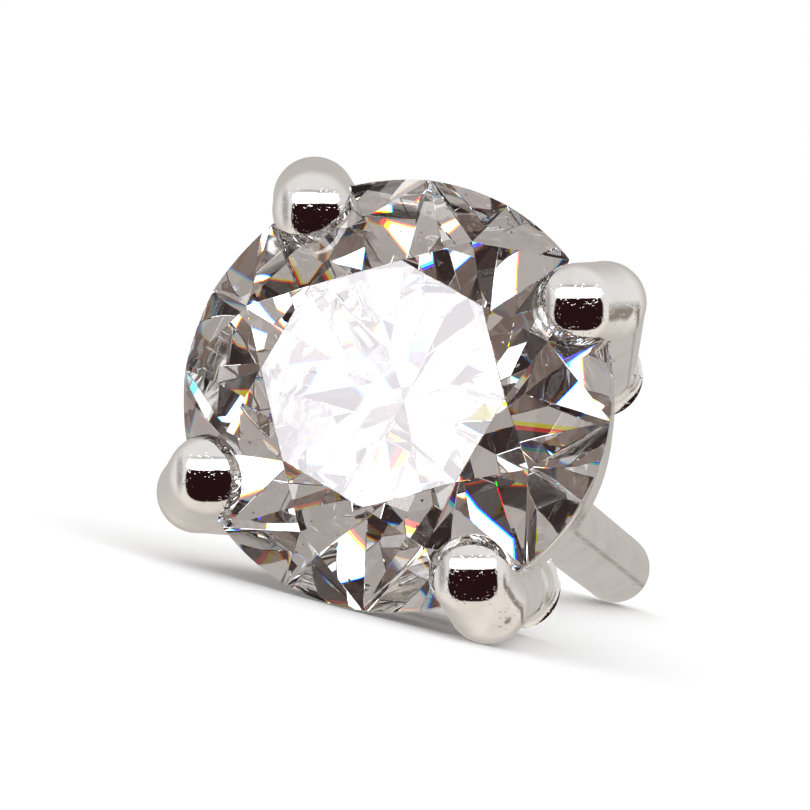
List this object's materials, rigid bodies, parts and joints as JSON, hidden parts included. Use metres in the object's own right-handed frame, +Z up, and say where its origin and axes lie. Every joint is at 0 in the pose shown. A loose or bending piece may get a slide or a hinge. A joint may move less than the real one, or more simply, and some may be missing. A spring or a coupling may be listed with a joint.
{
  "type": "stud earring",
  "caption": "Stud earring with a round brilliant clear stone held by ball-tipped prongs in a double-rail basket, a round base plate and a straight post soldered behind.",
  "frame": {"origin": "centre of the bounding box on the surface the stud lies on", "axes": "+Z up; -Y the way the stone's table faces, looking up by 7.6 degrees; +Y along the post, which comes down to its tip; +X to the right as seen from the front"},
  "size_m": [0.004, 0.0134, 0.0041],
  "materials": {
    "white_gold": "rhodium-plated white gold, mirror polished, with fine wear",
    "clear_stone": "polished facets, satin girdle"
  },
  "bodies": {
    "root": {"prong_setting": "white_gold", "stone": "clear_stone"}
  },
  "joints": []
}
